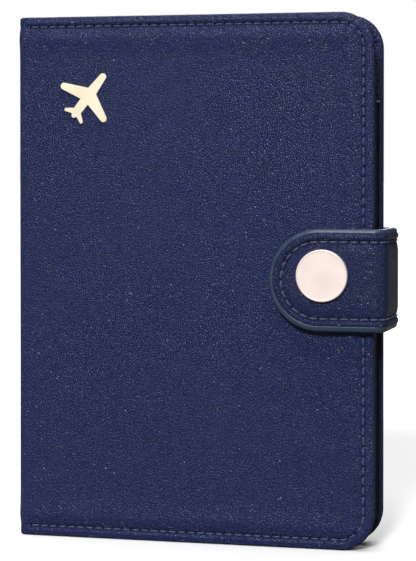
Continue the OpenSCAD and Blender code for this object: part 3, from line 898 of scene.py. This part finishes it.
def strap_half(side, names):
    """Leather, lining, painted edge and stitching of one half of the strap."""
    word = "tongue" if side < 0 else "root"
    wrap = wrap_strap(side)
    outline = strap_outline(side)
    face = strap_face(side)
    r = outline.r
    face_t = 0.58 * STRAP_T

    def under(u, z, line, inset):
        return np.full_like(u, -face_t)
    whole = side < 0
    if whole:
        deep = (r, 13.0, 12.2, 11.4, 10.6, 9.8, 9.0, 8.2, 7.4, 6.6, 6.0, 5.4, 4.9)
    else:
        deep = (r, 5.5)
    rings = [(d, face, whole) for d in deep]
    rings += [(d, face, True) for d in (
        4.5, 4.15, 3.9, 3.75, 3.6, 3.5, 3.4, 3.25, 3.1, 2.9, 2.6, 2.2, 1.8, 1.4, 1.0, 0.8)]
    rings += [(0.8, under, True), (2.5, under, whole), (r, under, whole)]
    skin = shell(f"strap_{word}_skin", outline, rings, wrap, STRAP_LEATHER)
    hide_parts(*names["leather"])

    def inner_top(u, z, line, inset):
        return np.full_like(u, -face_t - 0.02)

    def inner_low(u, z, line, inset):
        return np.full_like(u, -STRAP_T + 0.02)
    rings = [(r, inner_top, whole), (2.5, inner_top, whole), (0.8, inner_top, True)]
    rings += [(0.8, inner_low, True), (2.5, inner_low, whole), (r, inner_low, whole)]
    lining = shell(f"strap_{word}_backing", outline, rings, wrap, STRAP_LINING)
    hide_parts(*names["lining"])

    meet = paint_inset(outline, 1.15, 1.55)
    half = STRAP_T / 2
    profile = [(meet, face(outline.u, outline.z, None, meet) + 0.015)]
    profile += [(meet - 0.2, face(outline.u, outline.z, None, meet - 0.2) + 0.07)]
    for a in np.linspace(70, -90, 13):
        rad = math.radians(a)
        profile.append((0.95 * (1 - math.cos(rad)), -half + half * math.sin(rad)))
    profile += [(1.3, -STRAP_T - 0.01), (1.45, -STRAP_T + 0.1)]
    profile += [(1.2, -half), (meet, face(outline.u, outline.z, None, meet) - 0.25)]
    edge = band(f"strap_{word}_painted_edge", outline, profile, wrap, EDGE_PAINT)
    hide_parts(*names["edge"])

    spans = line_spans(outline, STRAP_STITCH_IN, 0, outline.stitches)
    sewn = threads(f"strap_{word}_stitches", spans, wrap, THREAD, 0.27, top=0.02, drop=0.62)
    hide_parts(*names["thread"])

    for piece in (skin, lining, edge, sewn):
        if side < 0:
            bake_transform(piece)
        else:
            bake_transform(piece)


# ---- pockets ----

def card_slots():
    """Three card slots and their stitching."""
    for word in ("lower", "middle", "upper"):
        node = f"card_slot_{word}"
        lo, hi = box_mm(node)
        corners = pocket_corners(lo[0], hi[0], lo[2], hi[2], CORNER_R - (FORE_X - hi[0]))
        piece = slab_piece(f"{word}_card_pocket", corners, lo[1], hi[1], POCKET_LEATHER)
        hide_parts(node)
        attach(piece, "front_cover")
        spans = row_spans(lo[0] + 3, hi[2] - 2, hi[0] - 3, hi[2] - 2)
        sewn = threads(f"{word}_card_pocket_stitches", spans, wrap_flat(hi[1], 1), THREAD,
                       top=0.05, drop=0.3)
        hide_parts("slot_stitching")
        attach(sewn, "front_cover")


def window_frame():
    """Leather frame round the window: a sheet with a hole, made as one closed ring."""
    lo, hi = box_mm("id_window_frame")
    width = 9.0
    g = Grower()
    mid, half = (lo[1] + hi[1]) / 2, (hi[1] - lo[1]) / 2
    wrap = wrap_flat(mid, 1)
    r_top = CORNER_R - (FORE_X - hi[0])
    outer = (arc_points(lo[0] + 0.6, lo[2] + 0.6, 0.6, 180, 270, 8)
             + arc_points(hi[0] - 0.6, lo[2] + 0.6, 0.6, 270, 360, 8)
             + arc_points(hi[0] - r_top, hi[2] - r_top, r_top, 0, 90, 8)
             + arc_points(lo[0] + 0.6, hi[2] - 0.6, 0.6, 90, 180, 8))
    x0, x1 = lo[0] + width, hi[0] - width
    z0, z1 = lo[2] + width, hi[2] - width + (COVER_H - hi[2])
    inner = (arc_points(x0 + 3, z0 + 3, 3, 180, 270, 8) + arc_points(x1 - 3, z0 + 3, 3, 270, 360, 8)
             + arc_points(x1 - 3, z1 - 3, 3, 0, 90, 8) + arc_points(x0 + 3, z1 - 3, 3, 90, 180, 8))
    o, i = np.array(outer), np.array(inner)
    span = i - o
    span /= np.linalg.norm(span, axis=1)[:, None]
    bevel = 0.2
    loops = [(o, -half + bevel), (o + bevel * span, -half), (i - bevel * span, -half),
             (i, -half + bevel), (i, half - bevel), (i - bevel * span, half),
             (o + bevel * span, half), (o, half - bevel)]
    rows = [g.add(wrap, p[:, 0], p[:, 1], np.full(len(p), h)) for p, h in loops]
    for a, b in zip(rows, rows[1:] + rows[:1]):
        g.strip(a, b, closed=True)
    piece = finish_mesh("window_leather_frame", g.bm, POCKET_LEATHER)
    piece.data.shade_flat()
    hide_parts("id_window_frame")
    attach(piece, "front_cover")
    rows = [(x0 - 2, z0 - 2, x1 + 2, z0 - 2), (x1 + 2, z0 - 2, x1 + 2, z1 + 2),
            (x1 + 2, z1 + 2, x0 - 2, z1 + 2), (x0 - 2, z1 + 2, x0 - 2, z0 - 2)]
    spans = [s for row in rows for s in row_spans(*row)]
    sewn = threads("window_stitches", spans, wrap_flat(hi[1], 1), THREAD, top=0.05, drop=0.3)
    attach(sewn, "front_cover")


def passport_pocket():
    """Face of the passport pocket with its thumb notch and stitching."""
    lo, hi = box_mm("passport_pocket")
    notch_r = 9.0
    notch_x = (lo[0] + hi[0]) / 2
    base = pocket_corners(lo[0], hi[0], lo[2], hi[2], CORNER_R - (FORE_X - hi[0]))
    notch = arc_points(notch_x, hi[2], notch_r, 360, 180, 24)
    right_top = [p for p in base if p[0] > notch_x]
    left_top = [p for p in base if p[0] <= notch_x and p[1] > COVER_H / 2]
    start = [p for p in base if p[0] <= notch_x and p[1] <= COVER_H / 2]
    corners = start + right_top + notch + left_top
    piece = slab_piece("passport_pocket_leather", corners, lo[1], hi[1], POCKET_LEATHER, 0.15)
    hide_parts("passport_pocket")
    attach(piece, "back_cover")
    row_z = hi[2] - 2
    spans = row_spans(lo[0] + 3, row_z, notch_x - notch_r - 2, row_z)
    spans += row_spans(notch_x + notch_r + 2, row_z, hi[0] - 3, row_z)
    sewn = threads("passport_pocket_stitches", spans, wrap_flat(lo[1], -1), THREAD,
                   top=0.05, drop=0.3)
    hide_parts("pocket_stitching")
    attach(sewn, "back_cover")


def gusset_wall():
    """Soft wall that holds the pocket's face off the lining, pinched in along its middle."""
    lo, hi = box_mm("pocket_gusset")
    r = CORNER_R - (FORE_X - hi[0])
    path = [(lo[0], hi[2] - 0.05 * i * (hi[2] - lo[2] - 0.8)) for i in range(20)]
    path += arc_points(lo[0] + 0.8, lo[2] + 0.8, 0.8, 180, 270, 5)
    path += [(x, lo[2]) for x in np.linspace(lo[0] + 4, hi[0] - r - 2, 16)]
    path += arc_points(hi[0] - r, lo[2] + r, r, 270, 360, 16)
    path += [(hi[0], z) for z in np.linspace(lo[2] + r + 2, hi[2], 20)]
    p = np.array(path)
    d = np.gradient(p, axis=0)
    d /= np.linalg.norm(d, axis=1)[:, None]
    n = np.stack([-d[:, 1], d[:, 0]], 1)
    g = Grower()
    wrap = wrap_flat(0, 1)
    depth = hi[1] - lo[1]
    section = [(s, lo[1] + depth * s, 0.28 * math.sin(math.pi * s)) for s in
               (0.0, 0.08, 0.2, 0.35, 0.5, 0.65, 0.8, 0.92, 1.0)]
    rows = []
    for _, y, pinch in section:
        q = p + n * (0.02 + pinch)
        rows.append(g.add(wrap, q[:, 0], q[:, 1], np.full(len(q), y)))
    for _, y, pinch in section[::-1]:
        q = p + n * (0.55 + pinch)
        rows.append(g.add(wrap, q[:, 0], q[:, 1], np.full(len(q), y)))
    for a, b in zip(rows, rows[1:] + rows[:1]):
        g.strip(a, b)
    # The gusset wall's darkened colour is painted shadow for the gap between the covers.
    piece = finish_mesh("pocket_gusset_leather", g.bm, GUSSET_SHADOW_LEATHER, cap_open=True)
    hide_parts("pocket_gusset")
    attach(piece, "back_cover")


def bartacks():
    """Dense thread bars across the gusset at both ends of the pocket's mouth."""
    lo, hi = box_mm("pocket_bartacks")
    mid_z = (lo[2] + hi[2]) / 2
    for word, x, out in (("spine_side", lo[0], -1), ("fore_edge", hi[0], 1)):
        g = Grower()
        radius, around = 0.17, np.linspace(0, 2 * math.pi, 8, endpoint=False)
        count = 15
        ys = np.linspace(lo[1], hi[1], count * 4)
        rows = []
        for k, y in enumerate(ys):
            swell = radius * (1 + 0.22 * math.sin(k * HALF_PI))
            cx = x - out * (0.15 - 0.06 * math.sin(math.pi * k / (len(ys) - 1)))
            row = []
            for a in around:
                at = (cx + swell * math.cos(a), y, mid_z + 1.5 * swell * math.sin(a))
                vert = g.bm.verts.new(Vector(at) * MM)
                vert[g.flat] = Vector((y, a * radius, 0)) * MM
                row.append(vert)
            rows.append(row)
        for a, b in zip(rows[:-1], rows[1:]):
            g.strip(a, b, closed=True)
        g.bm.faces.new(rows[0])
        g.bm.faces.new(rows[-1][::-1])
        piece = finish_mesh(f"bartack_{word}", g.bm, PALE_THREAD)
        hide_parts("pocket_bartacks")
        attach(piece, "back_cover")


# ---- CAD nodes that stay ----

def dress(node, material, bevel_mm=0.0):
    """A CAD node whose shape is right: its material, and rounded edges if asked."""
    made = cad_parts[node]
    made.data.materials.clear()
    made.data.materials.append(material)
    if bevel_mm:
        mod = made.modifiers.new("rounding", "BEVEL")
        mod.width = bevel_mm * MM
        mod.segments = 2
        mod.limit_method = "ANGLE"
        mod.angle_limit = math.radians(50)
    return made


def hardware():
    """Metal parts, boards and the window film."""
    dress("plane_emblem", PALE_GOLD, 0.09)
    dress("snap_cap", ROSE_GOLD, 0.06)
    for node in ("snap_socket", "snap_spring", "snap_post"):
        dress(node, STEEL)
    dress("snap_stud", ROSE_GOLD)
    for node in ("front_board", "back_board", "spine_board"):
        dress(node, BOARD)
    dress("id_window_film", FILM)


# ---- camera, floor and light ----

def look(obj, location, target):
    obj.location = location
    obj.rotation_euler = (Vector(target) - Vector(location)).to_track_quat("-Z", "Y").to_euler()


def camera():
    """A long lens from the right of the front, a little above the middle. Its place, angle and
    lens were fitted to the edges of the covers."""
    data = bpy.data.cameras.new("camera")
    cam = bpy.data.objects.new("camera", data)
    bpy.context.scene.collection.objects.link(cam)
    turn, pitch = math.radians(14.977), math.radians(0.872)
    place = Vector((0.14648, -0.54380, 0.10520))
    ahead = Vector((-math.sin(turn), math.cos(turn), -math.tan(pitch)))
    look(cam, place, place + ahead)
    data.lens = 130.785
    data.sensor_width = 36
    data.shift_y = -0.16
    data.clip_start = 0.01
    data.clip_end = 60
    bpy.context.scene.camera = cam


def soft_sun(name, direction, strength, spread):
    """Even light from one direction over the whole floor; spread is its angle in degrees."""
    data = bpy.data.lights.new(name, "SUN")
    data.energy = strength
    data.angle = math.radians(spread)
    made = bpy.data.objects.new(name, data)
    bpy.context.scene.collection.objects.link(made)
    look(made, direction, (0, 0, 0))


def studio():
    """A wide pale floor, a white surround and soft lamps. Floor and surround look white to the
    camera, but throw less light on the wallet, so that the navy leather keeps its depth."""
    bm = bmesh.new()
    bmesh.ops.create_circle(bm, cap_ends=True, segments=96, radius=9.0)
    mesh = bpy.data.meshes.new("floor")
    bm.to_mesh(mesh)
    bm.free()
    floor = bpy.data.objects.new("floor", mesh)
    bpy.context.scene.collection.objects.link(floor)
    n = Nodes("floor_pale")
    slow = n.noise(n.place(False), 3, 1)
    to_camera = n.add("ShaderNodeLightPath").outputs["Is Camera Ray"]
    pale = n.mix(slow, (0.93, 0.93, 0.93), (0.95, 0.95, 0.95))
    n.colour(n.mix(to_camera, (0.14, 0.14, 0.14), pale))
    n.set(Roughness=0.9, Specular_IOR_Level=0.1)
    mesh.materials.append(n.material)
    soft_sun("key", (0.0, -0.88, 0.47), 3.3, 14)
    soft_sun("behind", (-0.35, 0.85, 0.40), 1.6, 40)
    soft_sun("overhead", (0.0, -0.12, 1.0), 2.1, 50)
    world = bpy.data.worlds.new("surround")
    bpy.context.scene.world = world
    world.use_nodes = True
    tree = world.node_tree
    ground = tree.nodes["Background"]
    ground.inputs["Color"].default_value = (1, 1, 1, 1)
    ground.inputs["Strength"].default_value = 0.06
    seen = tree.nodes.new("ShaderNodeBackground")
    seen.inputs["Color"].default_value = (1, 1, 1, 1)
    seen.inputs["Strength"].default_value = 1.0
    rays = tree.nodes.new("ShaderNodeLightPath")
    both = tree.nodes.new("ShaderNodeMixShader")
    tree.links.new(rays.outputs["Is Camera Ray"], both.inputs[0])
    tree.links.new(ground.outputs[0], both.inputs[1])
    tree.links.new(seen.outputs[0], both.inputs[2])
    tree.links.new(both.outputs[0], tree.nodes["World Output"].inputs["Surface"])
    bpy.context.scene.view_settings.view_transform = "Standard"


# ---- the wallet ----

camera()
studio()
cover_half(-1, "front_cover", {
    "leather": ("front_leather", "front_fold", "spine_leather"),
    "lining": ("front_lining", "spine_lining"), "thread": "front_stitching"})
cover_half(1, "back_cover", {
    "leather": ("back_leather", "back_fold", "spine_leather"),
    "lining": ("back_lining", "spine_lining"), "thread": "back_stitching"})
pad_piece(-1, "front_cover", "front_pad")
pad_piece(1, "back_cover", "back_pad")
strap_half(-1, {
    "leather": ("strap_tongue_leather", "strap_front_bend", "strap_bridge_leather"),
    "lining": ("strap_tongue_lining", "strap_bridge_lining"),
    "edge": ("strap_tongue_edge", "strap_bridge_edge"),
    "thread": ("strap_tongue_stitching", "strap_bridge_stitching")})
strap_half(1, {
    "leather": ("strap_root_leather", "strap_back_bend", "strap_bridge_leather"),
    "lining": ("strap_root_lining", "strap_bridge_lining"),
    "edge": ("strap_root_edge", "strap_bridge_edge"),
    "thread": ("strap_root_stitching", "strap_bridge_stitching")})
card_slots()
window_frame()
passport_pocket()
gusset_wall()
bartacks()
hardware()
